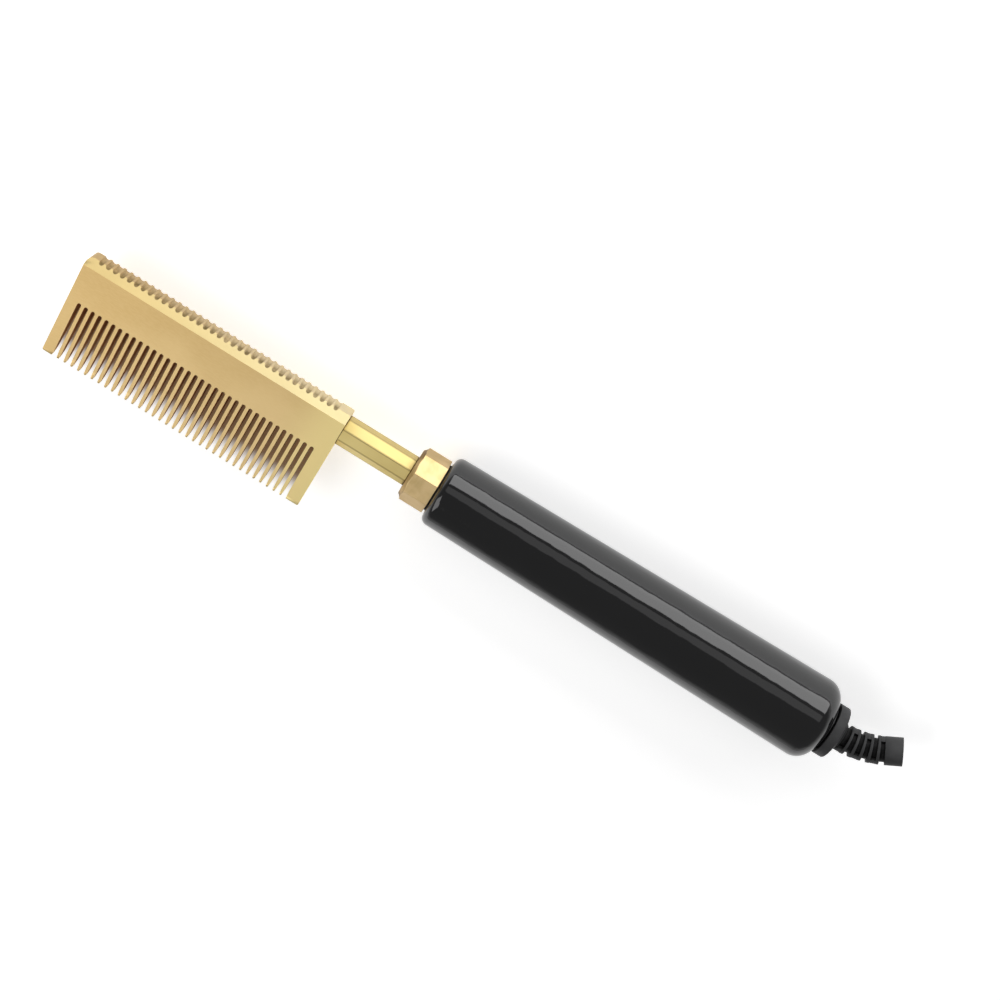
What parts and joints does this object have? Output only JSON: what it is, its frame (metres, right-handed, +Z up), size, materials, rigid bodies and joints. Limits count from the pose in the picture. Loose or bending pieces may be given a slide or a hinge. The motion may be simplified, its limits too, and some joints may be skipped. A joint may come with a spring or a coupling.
{
  "type": "electric hot comb",
  "caption": "Electric hot comb with a heated metal comb head, octagonal shank and lock nut, glossy tapered handle, and a ribbed cord guard that swivels at the rear.",
  "frame": {"origin": "middle of the underside of the overall box, on the surface the comb lies on", "axes": "+X along the handle from the comb head towards the cord guard, +Y towards the comb's grooved back, +Z up from the surface, square to the comb's broad face"},
  "size_m": [0.3188, 0.047, 0.0292],
  "materials": {
    "comb_brass": "satin gold tone, lightly brushed",
    "shank_brass": "satin gold tone, turned",
    "nut_brass": "polished gold tone",
    "steel": "plain",
    "ceramic": "fired ceramic, unglazed",
    "nickel_wire": "drawn",
    "glass_sleeve": "woven glass fibre",
    "fibre": "pressed fibre",
    "black_lacquer": "high gloss",
    "moulding": "moulded, matte",
    "terminal_brass": "plain",
    "fuse_case": "drawn case",
    "wire_cover": "extruded cover",
    "contact_bronze": "spring strip",
    "bearing_plastic": "moulded, smooth",
    "black_plastic": "moulded, fine matte grain",
    "black_flexible": "moulded, matte"
  },
  "bodies": {
    "comb": {"comb_head": "comb_brass", "heater_sheath": "steel", "heater_core": "ceramic", "heater_seal": "ceramic", "heater_leads": "nickel_wire", "lead_sleeves": "glass_sleeve", "octagonal_shank": "shank_brass", "lock_nut": "nut_brass", "lock_washer": "fibre", "front_bush": "ceramic", "back_washer": "steel", "back_nut": "steel", "handle_shell": "black_lacquer", "inner_carrier": "moulding", "terminal_block": "ceramic", "terminal_barrels": "terminal_brass", "terminal_screws": "steel", "thermal_fuse": "fuse_case", "fuse_clip": "steel", "supply_leads": "wire_cover", "contact_housing": "moulding", "spring_contacts": "contact_bronze", "bearing_bush": "bearing_plastic"},
    "swivel": {"swivel_spindle": "black_plastic", "slip_rings": "terminal_brass", "retaining_clip": "steel", "swivel_collar": "black_plastic", "cord_guard": "black_flexible", "cord_crimp": "steel"}
  },
  "joints": [
    {"name": "cord_swivel", "type": "hinge", "parent": "comb", "child": "swivel", "pos_m": [0.13098, 0.00889, 0.01462], "axis": [1, 0, 0], "continuous": true}
  ]
}
